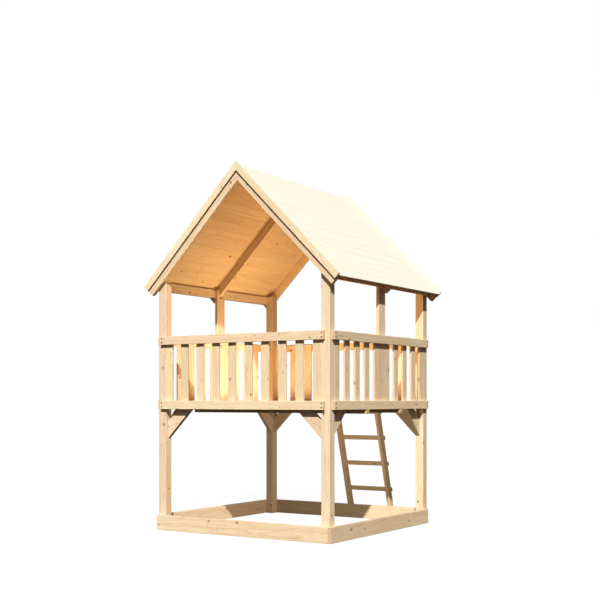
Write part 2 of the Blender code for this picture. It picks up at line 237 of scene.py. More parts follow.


# %% [markdown]
# ## Planed spruce: the finish
# The colour starts pale, takes wide soft streaks of warmer heartwood, the rings, short dark dashes of resin
# ducts, and then a tone of its own for each board, as boards from different trees have. Knots come on top.
# Cut ends drink in light and look darker, and arrises are rubbed pale, unevenly. Late wood is hard and a
# little shinier than spring wood, and the plane leaves it standing proud by a few hundredths of a millimetre.
# The bump is drawn a tenth high, or it would not show.
#
# Two marks are painted light and shade. The open side of a roof board and the top edge of a verge board are
# painted near white, more in some streaks than in others, as the strong sun makes them look, while a roof
# board's underside keeps the colour of fresh wood. The underside of a verge board is painted dark brown, as the
# shade beneath it.


# %% Build the finish
KNOT_BROWN, KNOT_DARK, KNOT_REACH = "#7a4c2a", "#43291a", 2.8
# The last of these three colours is painted shade, for the underside of a verge board.
RUBBED, END_STAIN, PAINTED_SHADE_BROWN = "#f3e2c6", "#a8763f", "#66491f"
DARKEST_TONE, LIGHTEST_TONE = 0.935, 1.03
REDDEST_HUE, YELLOWEST_HUE = 0.497, 0.509
MOST_REDNESS = 0.22
SOFT_EDGE = 0.0015
HALO, KNOT_COVER, END_DARKENING = 0.5, 0.85, 0.30
ROUGH_SPRING, ROUGH_LATE, ROUGHER_END = 0.66, 0.50, 0.18
FIBRE_HEIGHT, BUMP_STRENGTH, BUMP_HEIGHT = 0.5, 0.35, 0.0003
WOOD_IOR = 1.48


def planed_spruce(name, spring, late, heart, painted_sunlight=None, flecks=0.34, painted_shade_below=None):
    """Spruce in three tones. The fourth argument gives painted light on a board's sunlit side: its colour, how
    high above the board's middle that side starts, and how much lower it starts for each metre across the
    board. flecks is the strength of dark dashes in the grain, and the last argument the height below which the
    edge is painted dark as shade."""
    spring, late, heart, brown, dark = map(linear, (spring, late, heart, KNOT_BROWN, KNOT_DARK))
    material, tree = bare_material(name)
    own, place, marks, luck = board_place(tree)

    parts = add(tree, "SeparateXYZ", [place])
    narrow = add(tree, "Math", [marks["Z"], -0.5], "LESS_THAN")[0]
    across = add(tree, "Math", [parts["Z"], narrow, parts["Y"]], "MULTIPLY_ADD")[0]
    flat = add(tree, "CombineXYZ", {"X": parts["X"], "Y": across})[0]
    distance, size, mask = knots(tree, flat, *KNOTS)
    pin = knots(tree, flat, *PIN_KNOTS)[2]
    smooth = {"interpolation_type": "SMOOTHSTEP"}
    reach = add(tree, "Math", [size, KNOT_REACH], "MULTIPLY")[0]
    near = add(tree, "MapRange", [distance, reach, size, 0.0, 1.0], **smooth)[0]
    core = add(tree, "MapRange", [distance, 0.0, size, 0.0, 1.0], **smooth)[0]
    rings = growth_rings(tree, own, place, luck, near)

    def stretched(scale, detail):
        """Noise whose blots are long along the grain: scale is how many fit in a metre each way."""
        vector = add(tree, "VectorMath", [place, scale], "MULTIPLY")[0]
        return add(tree, "TexNoise", {"Vector": vector, "Scale": 1.0, "Detail": detail})[0]

    # Along the grain and across it: streaks 830 and 38 mm, patches 1250 and 290 mm, rubbed spots 110 and 11 mm.
    # Fibres are drawn 2 mm wide and resin ducts 6 mm wide, as real ones, under a millimetre, would not show.
    streaks = stretched((1.2, 26, 26), 2.0)
    patches = stretched((0.8, 3.5, 3.5), 1.0)
    rub = stretched((9, 90, 90), 2.0)
    fibres = stretched((16, 520, 520), 2.0)
    ducts = stretched((6, 170, 170), 0.0)

    def layered(colour, layers):
        """Each layer is mixed, by its share, over what lies below it."""
        for share, over in layers:
            inputs = {MIX_SHARE: share, MIX_FROM: colour, MIX_TO: over}
            colour = add(tree, "Mix", inputs, data_type="RGBA")[MIX_OUT]
        return colour

    warm = add(tree, "MapRange", [streaks, 0.42, 0.72, 0.0, 0.75])[0]
    strength = add(tree, "MapRange", [patches, 0.3, 0.7, 0.35, 0.9])[0]
    ringed = add(tree, "Math", [rings, strength], "MULTIPLY")[0]
    fibrous = add(tree, "MapRange", [fibres, 0.35, 0.65, 0.0, 0.16])[0]
    dashed = add(tree, "MapRange", [ducts, 0.68, 0.76, 0.0, flecks])[0]
    dice = add(tree, "SeparateXYZ", [luck])
    tone = add(tree, "MapRange", {0: dice["X"], 3: DARKEST_TONE, 4: LIGHTEST_TONE})[0]
    redness = add(tree, "MapRange", {0: dice["Y"], 3: 0.0, 4: MOST_REDNESS})[0]
    hue = add(tree, "MapRange", {0: dice["Z"], 3: REDDEST_HUE, 4: YELLOWEST_HUE})[0]
    wood = [(warm, heart), (ringed, late), (fibrous, late), (dashed, brown), (redness, heart)]
    colour = layered(spring, wood)
    colour = add(tree, "HueSaturation", {"Hue": hue, "Value": tone, "Color": colour})[0]

    uneven = add(tree, "MapRange", [rub, 0.4, 0.7, 0.15, 0.6])[0]
    worn = add(tree, "Math", [marks["Y"], uneven], "MULTIPLY")[0]
    halo = add(tree, "Math", [near, HALO], "MULTIPLY")[0]
    knot = add(tree, "Math", [mask, KNOT_COVER], "MULTIPLY")[0]
    knot_colour = layered(brown, [(core, dark)])
    colour = layered(colour, [(worn, linear(RUBBED)), (halo, brown), (knot, knot_colour), (pin, dark)])
    on_end = add(tree, "Math", [marks["Z"], 1.0], "MULTIPLY", use_clamp=True)[0]
    stain = add(tree, "Math", [on_end, END_DARKENING], "MULTIPLY")[0]
    stained = {MIX_SHARE: stain, MIX_FROM: colour, MIX_TO: linear(END_STAIN)}
    colour = add(tree, "Mix", stained, data_type="RGBA", blend_type="MULTIPLY")[MIX_OUT]

    inside = add(tree, "SeparateXYZ", [own])
    painted_light_and_shade = []
    # Painted light: the board's side turned to the sun is painted near white, more in some streaks than in
    # others.
    if painted_sunlight:
        pale, start, lean = painted_sunlight
        height = add(tree, "Math", [inside["Y"], lean, inside["Z"]], "MULTIPLY_ADD")[0]
        sunlit_strength = add(tree, "MapRange", [streaks, 0.35, 0.65, 0.97, 0.84])[0]
        upper = add(tree, "MapRange", {0: height, 1: start - SOFT_EDGE, 2: start, 4: sunlit_strength})[0]
        painted_light_and_shade.append((upper, linear(pale)))
    # Painted shade: a verge board's underside and its lowest millimetre are painted dark brown.
    if painted_shade_below is not None:
        lower = add(tree, "MapRange", [inside["Z"], painted_shade_below, painted_shade_below + SOFT_EDGE, 0.80, 0.0])[0]
        painted_light_and_shade.append((lower, linear(PAINTED_SHADE_BROWN)))
    colour = layered(colour, painted_light_and_shade)

    hard = add(tree, "Math", [rings, mask], "MAXIMUM")[0]
    rough = add(tree, "MapRange", {0: hard, 3: ROUGH_SPRING, 4: ROUGH_LATE})[0]
    rough = add(tree, "Math", [on_end, ROUGHER_END, rough], "MULTIPLY_ADD")[0]
    height = add(tree, "Math", [fibres, FIBRE_HEIGHT, hard], "MULTIPLY_ADD")[0]
    inputs = {"Height": height, "Strength": BUMP_STRENGTH, "Distance": BUMP_HEIGHT}
    bump = add(tree, "Bump", inputs)[0]
    inputs = {"Base Color": colour, "Roughness": rough, "Normal": bump, "IOR": WOOD_IOR}
    add(tree, "OutputMaterial", {"Surface": add(tree, "BsdfPrincipled", inputs)[0]})
    return material


POSTS = planed_spruce("planed spruce of the frame", "#ecd7bb", "#d1a981", "#e5c29b")
SLATS = planed_spruce("planed spruce of rails and slats", "#ecd7b5", "#d1a87e", "#e5c399")
ROOF = planed_spruce("planed spruce of the roof", "#ecd7b2", "#d0a87b", "#dfbb92")
# A verge board's top edge is painted near white as painted light, and its underside dark as painted shade.
VERGE = planed_spruce(
    "pale spruce of the verge boards", "#efdcba", "#dab88e", "#e8cca3", ("#dcdcc2", 0.0194, 0.65), painted_shade_below=-0.0320
)
# A roof board's open side is painted near white, as painted light.
DECK = planed_spruce(
    "spruce boarding bleached on top", "#ecd2a8", "#cfa473", "#e0ba8a", ("#e3e3d5", 0.0085, 0.0), flecks=0.10
)
FLOOR = planed_spruce("spruce floor boards", "#e4c596", "#c69a66", "#d8ae7a")
LADDER = planed_spruce("planed spruce of the ladder", "#e7cca8", "#caa17a", "#dbb78e")
print("finishes of spruce: 7")

# %% [markdown]
# ## The shape of a planed board
# A planer runs along the board and leaves its long edges rounded by 2 to 5 mm. Every board of the tower is
# an outline carried in a straight line through a depth: a post is its square section carried up, a brace is
# its outline seen from the side carried through its thickness. First each corner of the outline becomes a
# small arc. Then the outline is carried, and its first and last millimetres step inwards round a quarter
# circle, so that the edges at both ends of the way are rounded too. The radius of the arcs and that of the
# quarter circle are given as a pair, a board's edges.

# %% Round the corners of an outline
ARC_STEPS = 3


def rounded(outline, radius):
    """The outline with an arc at each corner. An arc's point is its centre plus the radius times its normal,
    which turns evenly from one side's normal to the next one's. At a hollow corner the centre lies outside,
    and the radius counts as minus. Gives the points, their normals, and 1 in the middle of an arc, 0 at its
    ends."""
    outline = np.array(outline, float)
    ahead = np.roll(outline, -1, axis=0) - outline
    if (outline[:, 0] * np.roll(outline[:, 1], -1) - outline[:, 1] * np.roll(outline[:, 0], -1)).sum() < 0:
        return rounded(outline[::-1], radius)
    after = np.stack([ahead[:, 1], -ahead[:, 0]], 1) / np.linalg.norm(ahead, axis=1)[:, None]
    before = np.roll(after, 1, axis=0)
    cross = before[:, 0] * after[:, 1] - before[:, 1] * after[:, 0]
    dot = (before * after).sum(1)
    bend = np.sign(cross)
    centre = outline - (bend * radius / (1 + dot))[:, None] * (before + after)
    share = np.linspace(0, 1, ARC_STEPS + 1)
    angle = np.arctan2(before[:, 1], before[:, 0])[:, None] + np.arctan2(cross, dot)[:, None] * share
    normals = np.stack([np.cos(angle), np.sin(angle)], -1)
    points = centre[:, None] + (bend * radius)[:, None, None] * normals
    middle = np.broadcast_to(np.sin(np.pi * share), angle.shape)
    return points.reshape(-1, 2), normals.reshape(-1, 2), middle.reshape(-1)


print("a square with arcs has", len(rounded([(0, 0), (1, 0), (1, 1), (0, 1)], 0.1)[0]), "points")


# %% Carry it through the depth
def carried(outline, axis, low, high, edges):
    """A surface of two parameters: the place round the outline, and the way from low to high along the axis.
    At both ends the way runs round a quarter circle: the rise is its radius times one minus the sine of the
    turn, and the step inwards along the normal is its radius times one minus the cosine. Gives the grid of
    points, the normals, and how near each point is to the middle of a rounding."""
    points, flat_normals, on_arc = rounded(outline, edges[0])
    turn = np.linspace(np.pi / 2, 0, ARC_STEPS + 1)
    rise, inset = edges[1] * (1 - np.sin(turn)), edges[1] * (1 - np.cos(turn))
    way = np.concatenate([low + rise, (high - rise)[::-1]])
    inset = np.concatenate([inset, inset[::-1]])
    lean = np.concatenate([-np.sin(turn), np.sin(turn)[::-1]])
    on_edge = np.sin(2 * np.abs(np.arcsin(lean)))
    across = [i for i in range(3) if i != axis]
    grid = np.empty((len(way), len(points), 3))
    grid[..., across] = points - inset[:, None, None] * flat_normals
    grid[..., axis] = way[:, None]
    normals = np.empty_like(grid)
    normals[..., across] = np.sqrt(1 - lean**2)[:, None, None] * flat_normals
    normals[..., axis] = lean[:, None]
    return grid, normals, np.maximum(on_edge[:, None], np.sqrt(1 - lean**2)[:, None] * on_arc)


def grid_faces(rows, columns, turned):
    """Four-sided faces between neighbouring rows and columns, closed round the outline, and the two caps."""
    here = np.arange(columns)
    beside = np.roll(here, -1)
    row = (np.arange(rows - 1) * columns)[:, None]
    quads = np.stack([row + here, row + beside, row + columns + beside, row + columns + here], -1)
    caps = [here[::-1], here + (rows - 1) * columns]
    faces = quads.reshape(-1, 4).tolist() + [cap.tolist() for cap in caps]
    return [face[::-1] for face in faces] if turned else faces


# %% [markdown]
# ## From numbers to a board in the scene
# The board's mesh gets its normals straight from the formula, so wide faces stay flat in the light while the
# roundings shine softly. The two attributes are written at the same time: the place in the board is
# measured along the grain, across it and through, from the board's middle.

# %% Make a board
PLANK_EDGES = (0.003, 0.0012)
board_count = 0


def placed(name, data):
    """A new object in the scene."""
    thing = bpy.data.objects.new(name, data)
    bpy.context.scene.collection.objects.link(thing)
    return thing


def shaped(name, points, faces, finish):
    """A new object with a mesh of its own."""
    mesh = bpy.data.meshes.new(name)
    mesh.from_pydata(points.reshape(-1, 3).tolist(), [], faces)
    mesh.materials.append(finish)
    return placed(name, mesh)


def timber(name, nodes, outline, axis, depth, finish, grain, wide, edges=PLANK_EDGES):
    """One board from its outline, in the two directions other than the axis. grain and wide are the directions
    of its length and of its wide face. It stands for the nodes named, which are hidden."""
    global board_count
    board_count += 1
    grid, normals, arrises = carried(outline, axis, depth[0], depth[1], edges)
    points, normals = grid.reshape(-1, 3), normals.reshape(-1, 3)
    grain, wide = (np.array(v, float) / np.linalg.norm(v) for v in (grain, wide))
    own = points @ np.stack([grain, wide, np.cross(grain, wide)], 1)
    own -= (own.min(0) + own.max(0)) / 2
    facing = np.abs(normals @ grain) - np.abs(normals @ wide)
    marks = np.stack([np.full(len(points), board_count), arrises.reshape(-1), facing], 1)

    piece = shaped(name, points, grid_faces(*grid.shape[:2], turned=axis == 1), finish)
    mesh = piece.data
    for key, values in (("grain", own), ("marks", marks)):
        mesh.attributes.new(key, "FLOAT_VECTOR", "POINT").data.foreach_set("vector", values.ravel())
    mesh.polygons.foreach_set("use_smooth", np.ones(len(mesh.polygons), bool))
    mesh.normals_split_custom_set_from_vertices(normals.tolist())
    nodes = [nodes] if isinstance(nodes, str) else nodes
    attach(piece, "root")
    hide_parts(*nodes)


AXES = np.eye(3)


def straight(name, node, finish, edges=PLANK_EDGES, box=None):
    """A board as large as its solid, or as a box inside it, with its grain along its longest side."""
    low, high = box or corners(node)
    size = np.subtract(high, low)
    order = np.argsort(size)[::-1]
    axis = int(order[0])
    a, b = (i for i in range(3) if i != axis)
    outline = [(low[a], low[b]), (high[a], low[b]), (high[a], high[b]), (low[a], high[b])]
    depth = (low[axis], high[axis])
    timber(name, node, outline, axis, depth, finish, AXES[axis], AXES[order[1]], edges)


# %% [markdown]
# ## Posts
# Four corner posts, 90 mm square, run from the ground into the roof. A post is too thick to dry evenly, so
# it is planed last and its arrises are taken off a little more than those of thin boards.

# %% Corner posts
POST_EDGES = (0.004, 0.002)
for node in ("post_front_left", "post_front_right", "post_back_left", "post_back_right"):
    straight(f"corner_{node}", node, POSTS, POST_EDGES)
print("corner posts: 4")

# %% [markdown]
# ## Middle posts
# A board stands in the middle of each side, from the lower rail to the roof. Its top is forked: the slot takes
# the middle rafter, which rests on the slot's outer edge. The outline is drawn as seen from the side.

# %% Middle posts
RAFTER_THICKNESS = 0.045
FORK_CLEARANCE = 0.001
RAFTER_DEPTH = 0.085
ROOF_HEEL = 0.027
FORK_EDGES = (0.002, 0.002)
fork = RAFTER_THICKNESS / 2 + FORK_CLEARANCE
fork_floor = POST_HEIGHT + ROOF_HEEL - (RAFTER_DEPTH + SEAT) * math.sqrt(2)
for side in ("left", "right"):
    node = f"mid_post_{side}"
    (x0, y0, z0), (x1, y1, z1) = corners(node)
    outline = [(y0, z0), (y1, z0), (y1, z1), (TOWER_Y + fork, z1), (TOWER_Y + fork, fork_floor)]
    outline += [(TOWER_Y - fork, fork_floor), (TOWER_Y - fork, z1), (y0, z1)]
    timber(f"middle_post_{side}", node, outline, 0, (x0, x1), POSTS, AXES[2], AXES[1], FORK_EDGES)
print(f"middle posts: slot {2000 * fork:.0f} mm wide, its floor {fork_floor:.3f} m up")

# %% [markdown]
# ## Sand pit boards and rails
# A frame of boards on edge lies round the foot of the posts, and two rails run along each side of the
# platform. All are straight planks screwed to the posts' outer faces, so each is laid where its solid lies.
# A railing's solid holds the upper rail and its slats in one: its rail is the top 82.5 mm. Each side is noted
# with the axis along which it runs.

# %% Sand pit boards and rails
SIDES = {"front": 0, "back": 0, "left": 1, "right": 1}
RAIL_HEIGHT = 0.0825
RAIL_THICKNESS = 0.034


def thinned(low, high, side, thickness, outside):
    """Leaves of a box only its outer or inner layer, for a side of the tower."""
    across = 1 - SIDES[side]
    if (side in ("front", "left")) == outside:
        high[across] = low[across] + thickness
    else:
        low[across] = high[across] - thickness


for side in SIDES:
    straight(f"pit_board_{side}", f"base_board_{side}", SLATS)
    straight(f"rail_low_{side}", f"lower_rail_{side}", SLATS)
    low, high = corners(f"railing_{side}")
    low[2] = high[2] - RAIL_HEIGHT
    thinned(low, high, side, RAIL_THICKNESS, outside=True)
    straight(f"rail_high_{side}", f"railing_{side}", SLATS, box=(low, high))
print("pit boards and rails:", 3 * len(SIDES))

# %% [markdown]
# ## Railing slats
# Upright slats hang behind the rails, ten in the front, ten on each side with the middle post between them,
# and seven at the back, where three are left out for the way in. The first and last slat touch the posts, and
# the gaps between are equal. The slats end 8 mm short of the rails' edges.

# %% Railing slats
SLAT_WIDTH = 0.087
SLAT_THICKNESS = 0.020
SLAT_END_INSET = 0.008
SLAT_EDGES = (0.0025, 0.001)
FRONT_SLATS = 10
ENTRY_SLATS = (5, 6, 7)
start, end = span("mid_post_left", 1)
MID_POST_WIDTH = end - start
clear = (RIGHT - LEFT) / 2 - POST
rail_bottom, rail_top = span("lower_rail_front", 2)[0], span("railing_front", 2)[1]


def slat_starts(side):
    """Where the slats of a side start, measured from its middle: evenly spaced between the posts."""
    if SIDES[side] == 0:
        starts = np.linspace(-clear, clear - SLAT_WIDTH, FRONT_SLATS)
        keep = [i for i in range(FRONT_SLATS) if side == "front" or i + 1 not in ENTRY_SLATS]
        return starts[keep]
    near = np.linspace(-clear, -MID_POST_WIDTH / 2 - SLAT_WIDTH, FRONT_SLATS // 2)
    return np.concatenate([near, -near[::-1] - SLAT_WIDTH])


for side, along in SIDES.items():
    low, high = corners(f"railing_{side}")
    thinned(low, high, side, SLAT_THICKNESS, outside=False)
    low[2], high[2] = rail_bottom + SLAT_END_INSET, rail_top - SLAT_END_INSET
    centre = 0.0 if along == 0 else TOWER_Y
    for number, start in enumerate(slat_starts(side), 1):
        low[along], high[along] = centre + start + SEAT, centre + start + SLAT_WIDTH - SEAT
        straight(f"slat_{side}_{number:02d}", f"railing_{side}", SLATS, SLAT_EDGES, (low, high))
    print(f"slats {side}: {number}")

# %% [markdown]
# ## Platform frame
# Ledgers lie inside the railing and carry the floor's edges. Two joists run across under the floor, and their
# ends are thinned to tongues that pass under the ledgers and show below the side rails. The joist's outline
# is drawn as seen from the front.

# %% Ledgers and joists
FRAME_EDGES = (0.0025, 0.0012)
JOIST_EDGES = (0.0025, 0.0025)
for side in SIDES:
    straight(f"ledger_{side}", f"floor_ledger_{side}", FLOOR, FRAME_EDGES)
LEDGER_INNER = span("floor_ledger_right", 0)[0] - SEAT
for name in ("front", "back"):
    node = f"floor_joist_{name}"
    (x0, y0, z0), (x1, y1, z1) = corners(node)
    tongue = rail_bottom - SEAT
    half = [(x1, z0), (x1, tongue), (LEDGER_INNER, tongue), (LEDGER_INNER, z1)]
    outline = half + [(-x, z) for x, z in reversed(half)]
    timber(f"joist_{name}", node, outline, 1, (y0, y1), FLOOR, AXES[0], AXES[2], JOIST_EDGES)
print(f"joists: tongue {1000 * (tongue - z0):.0f} mm high")

# %% [markdown]
# ## Knee braces
# Two braces stand at each post, at 45 degrees between the post's inner face and the platform. They are cut
# plumb at the foot and level at the top, so the outline is a slanted four-sided figure.

# %% Knee braces
BRACE_WIDTH = 0.115
SHAPED_EDGES = (0.0028, 0.0025)
rise = BRACE_WIDTH * math.sqrt(2)
for side, along in SIDES.items():
    ends = ("left", "right") if along == 0 else ("front", "back")
    for end, sign in zip(ends, (-1, 1)):
        node = f"brace_{side}_{end}"
        low, high = corners(node)
        foot, top = low[2], high[2]
        face, inner = (high[along], low[along]) if sign > 0 else (low[along], high[along])
        outline = [(face, foot), (face, foot + rise), (face - sign * (top - foot - rise), top), (inner, top)]
        grain = -sign * AXES[along] + AXES[2]
        wide = sign * AXES[along] + AXES[2]
        across = 1 - along
        timber(f"knee_{node}", node, outline, across, span(node, across), POSTS, grain, wide, SHAPED_EDGES)
print("knee braces: 8")

# %% [markdown]
# ## Tongue and groove boards
# Floor and roof are boarded. Each board has a tongue on one edge and a groove in the other, and its arrises
# are bevelled, so that a joint shows as a small V. The outline is the board's section, and it is carried
# along the board.

# %% The section of a tongue and groove board
BEVEL = 0.0008
JOINT_GAP = 0.00025
TONGUE = 0.0055
GROOVE = 0.0070
PLAY_IN, PLAY_OUT = 0.0002, 0.0004
BOARDING_EDGES = (0.0003, 0.0003)
TONGUE_LOW, TONGUE_HIGH = 0.0070, 0.0130


def boarding_section(start, end, low, high, tongue=True, groove=True):
    """Corners of the section, as (across, up), round from its lower left. Without the tongue or the groove that
    edge is plain between its bevels."""
    left, right = start + JOINT_GAP, end - JOINT_GAP
    fall = BEVEL - JOINT_GAP
    section = [(start + BEVEL, low), (end - BEVEL, low), (right, low + fall)]
    if groove:
        section += [(right, low + TONGUE_LOW - PLAY_OUT), (end - GROOVE, low + TONGUE_LOW - PLAY_IN)]
        section += [(end - GROOVE, low + TONGUE_HIGH + PLAY_IN), (right, low + TONGUE_HIGH + PLAY_OUT)]
    section += [(right, high - fall), (end - BEVEL, high), (start + BEVEL, high), (left, high - fall)]
    if tongue:
        section += [(left, low + TONGUE_HIGH), (start - TONGUE, low + TONGUE_HIGH - PLAY_IN)]
        section += [(start - TONGUE, low + TONGUE_LOW + PLAY_IN), (left, low + TONGUE_LOW)]
    return section + [(left, low + fall)]


print("corners of a section:", len(boarding_section(0, 0.1, 0, 0.02)))

# %% [markdown]
# ## Floor
# Eighteen equal boards run from front to back on the ledgers and joists. The first and the last are cut out
# round the corner posts and the middle posts, so they are drawn as seen from above.

# %% Floor boards
FLOOR_BOARDS = 18
FLOOR_CLEARANCE = 0.003
EDGE_BOARD_EDGES = (0.0026, 0.0025)
start, end = span("mid_post_right", 0)
MID_POST_THICKNESS = end - start
(floor_x0, floor_y0, floor_z0), (floor_x1, floor_y1, floor_z1) = corners("floor_boards")
joints = np.linspace(floor_x0, floor_x1, FLOOR_BOARDS + 1)
for number, (start, end) in enumerate(zip(joints[:-1], joints[1:]), 1):
    name = f"floor_board_{number:02d}"
    if 1 < number < FLOOR_BOARDS:
        tongue, groove = number > 2, number < FLOOR_BOARDS - 1
        outline = boarding_section(start, end, floor_z0, floor_z1, tongue, groove)
        depth = (floor_y0, floor_y1)
        timber(name, "floor_boards", outline, 1, depth, FLOOR, AXES[1], AXES[0], BOARDING_EDGES)
        continue
    sign = 1 if number == 1 else -1
    edge, inner = (start, end) if number == 1 else (end, start)
    corner = sign * (LEFT + POST + FLOOR_CLEARANCE)
    notch = sign * (LEFT + MID_POST_THICKNESS + FLOOR_CLEARANCE)
    reach = MID_POST_WIDTH / 2 + FLOOR_CLEARANCE
    behind = FRONT + POST + FLOOR_CLEARANCE
    half = [(inner - sign * JOINT_GAP, floor_y0), (corner, floor_y0), (corner, behind), (edge, behind)]
    half += [(edge, TOWER_Y - reach), (notch, TOWER_Y - reach)]
    outline = half + [(x, 2 * TOWER_Y - y) for x, y in reversed(half)]
    depth = (floor_z0, floor_z1)
    timber(name, "floor_boards", outline, 2, depth, FLOOR, AXES[1], AXES[0], EDGE_BOARD_EDGES)
print(f"floor boards: {FLOOR_BOARDS}, each covering {1000 * (joints[1] - joints[0]):.1f} mm")

# %% [markdown]
# ## Roof lines
# The roof rises at 45 degrees. A point of a gable is given by its way down the slope from the ridge and its
# height square above the underside of the roof boards. At the ridge the two slopes meet in a plumb cut, half a
# seat off the middle.

# %% Points of the roof
COS_45 = math.sqrt(0.5)
BOARDING = 0.020
RIDGE = POST_HEIGHT + ROOF_HEEL + (RIGHT - LEFT) / 2
DECK_LOW, DECK_HIGH = SEAT, SEAT + BOARDING
SLOPE = span("roof_boards_right", 0)[1] / COS_45 - DECK_HIGH


def slope_point(sign, way, above):
    """Sideways and up: each step down the slope moves both by the cosine of 45 degrees, and so does each step
    square to it, upwards."""
    return sign * (way + above) * COS_45, RIDGE - (way - above) * COS_45


def ridge_way(above):
    """The way along the slope at which the plumb cut lies, for a height above the boards' underside."""
    return SEAT / 2 / COS_45 - above


def rafter_outline(sign, low, high):
    """From the plumb cut at the ridge to the square cut at the eave."""
    places = [(ridge_way(low), low), (SLOPE, low), (SLOPE, high), (ridge_way(high), high)]
    return [slope_point(sign, way, above) for way, above in places]


print(f"ridge {RIDGE:.3f} m up, slopes {SLOPE:.3f} m long")

# %% [markdown]
# ## Wall plates and rafters
# Plates on the side posts' outer faces carry the roof. Their outer top edge is planed to the slope. Three
# pairs of rafters meet at the ridge: one in front of the posts, one behind them, and one in the middle, which
# passes between the plates and rests in the forked posts.

# %% Plates and rafters
for side, sign in (("left", -1), ("right", 1)):
    for name in ("front", "back"):
        node = f"plate_{side}_{name}"
        low, high = corners(node)
        inner, outer = (low[0], high[0]) if sign > 0 else (high[0], low[0])
        under = RIDGE - SEAT / COS_45
        outline = [(inner, low[2]), (outer, low[2]), (outer, under - abs(outer))]
        outline += [(sign * (under - POST_HEIGHT), POST_HEIGHT), (inner, POST_HEIGHT)]
        timber(f"wall_{node}", node, outline, 1, span(node, 1), POSTS, AXES[1], AXES[2], FRAME_EDGES)
    for name in ("front", "middle", "back"):
        node = f"rafter_{name}_{side}"
        outline = rafter_outline(sign, -RAFTER_DEPTH, 0.0)
        timber(f"roof_{node}", node, outline, 1, span(node, 1), ROOF, (sign, 0, -1), (sign, 0, 1), SHAPED_EDGES)
print("plates: 4, rafters: 6")

# %% [markdown]
# ## Roof boards and verge boards
# Fifteen boards cover each slope, laid from the eave upwards with the tongue on top, so that rain can't run
# into the groove. The uppermost is ripped to what is left and mitred at the ridge. Verge boards cover the
# ends of the boards at both gables.

# %% Roof boards and verge boards
ROOF_COVER = 0.1065
roof_joints = SLOPE - ROOF_COVER * np.arange(int(SLOPE / ROOF_COVER), -1, -1)
VERGE_LOW, VERGE_HIGH = -0.021, 0.045
VERGE_EDGES = (0.0045, 0.0015)
starts = np.concatenate([[0.0], roof_joints[:-1]])
for side, sign in (("left", -1), ("right", 1)):
    node = f"roof_boards_{side}"
    depth = span(node, 1)
    for number, (start, end) in enumerate(zip(starts, roof_joints), 1):
        tongue, groove = number > 1, number < len(roof_joints)
        section = boarding_section(start, end, DECK_LOW, DECK_HIGH, tongue, groove)
        if number == 1:
            keep = [(way, above) for way, above in section if way > end / 2]
            section = [(ridge_way(DECK_LOW), DECK_LOW)] + keep + [(ridge_way(DECK_HIGH), DECK_HIGH)]
        outline = [slope_point(sign, way, above) for way, above in section]
        name = f"roof_board_{side}_{number:02d}"
        timber(name, node, outline, 1, depth, DECK, AXES[1], (-1, 0, sign), BOARDING_EDGES)
    for name in ("front", "back"):
        node = f"verge_board_{name}_{side}"
        outline = rafter_outline(sign, VERGE_LOW, VERGE_HIGH)
        # Both turn round at the back, so that the board's third direction, along which the painted light and
        # shade count, points up.
        inward = 1 if name == "front" else -1
        grain, wide = (inward, 0, -inward * sign), inward * AXES[1]
        timber(f"gable_{node}", node, outline, 1, span(node, 1), VERGE, grain, wide, VERGE_EDGES)
print(f"roof boards: 2 x {len(roof_joints)}, verge boards: 4")

# %% [markdown]
# ## Ladder
# The ladder leans at 16 degrees on the lower rail at the back. Its stiles are cut level at the foot and the
# top, and plumb where they lie against the rail. The rungs are screwed across the stiles' outer edges.

# %% Ladder
LADDER_LEAN = math.radians(16.3)
STILE_DEPTH = 0.090
lean_up = np.array([0, -math.sin(LADDER_LEAN), math.cos(LADDER_LEAN)])
lean_out = np.array([0, math.cos(LADDER_LEAN), math.sin(LADDER_LEAN)])
slant = math.tan(LADDER_LEAN)
for side in ("left", "right"):
    node = f"ladder_stile_{side}"
    (x0, y0, z0), (x1, y1, z1) = corners(node)
    level = STILE_DEPTH / math.cos(LADDER_LEAN)
    outline = [(y1 - level, z0), (y1, z0), (y1 - z1 * slant, z1), (y0, z1), (y0, (y1 - level - y0) / slant)]
    timber(f"stile_{side}", node, outline, 0, (x0, x1), LADDER, lean_up, lean_out, SHAPED_EDGES)
RUNGS = 4
RUNG_HEIGHT, RUNG_THICKNESS = 0.045, 0.028
RUNG_RISE = 0.290
RUNG_EDGES = (0.003, 0.0015)
depth = span("ladder_rung_1", 0)
heel = span("ladder_stile_left", 1)[1]
for number in range(1, RUNGS + 1):
    height = number * RUNG_RISE
    half, out = lean_up[1:] * RUNG_HEIGHT / 2, lean_out[1:] * RUNG_THICKNESS
    seat = np.array([heel - height * slant, height]) + lean_out[1:] * SEAT
    outline = [seat - half, seat - half + out, seat + half + out, seat + half]
    node = f"ladder_rung_{number}"
    timber(f"rung_{number}", node, outline, 0, depth, LADDER, AXES[0], lean_up, RUNG_EDGES)
print("ladder: 2 stiles,", RUNGS, "rungs")

# %% [markdown]
# ## Screws
# Timber screws with flat heads hold the tower together: discs 18 mm across, two at each end of every rail,
# drawn near black, partly as the dulled steel and partly as painted shade of the countersunk holes they sit in.
# A head is a profile turned round its axis, with a six-lobed recess. It is repeated many times, so it has few
# faces.

# %% Screw finish
BLOTS_PER_METRE = 450.0


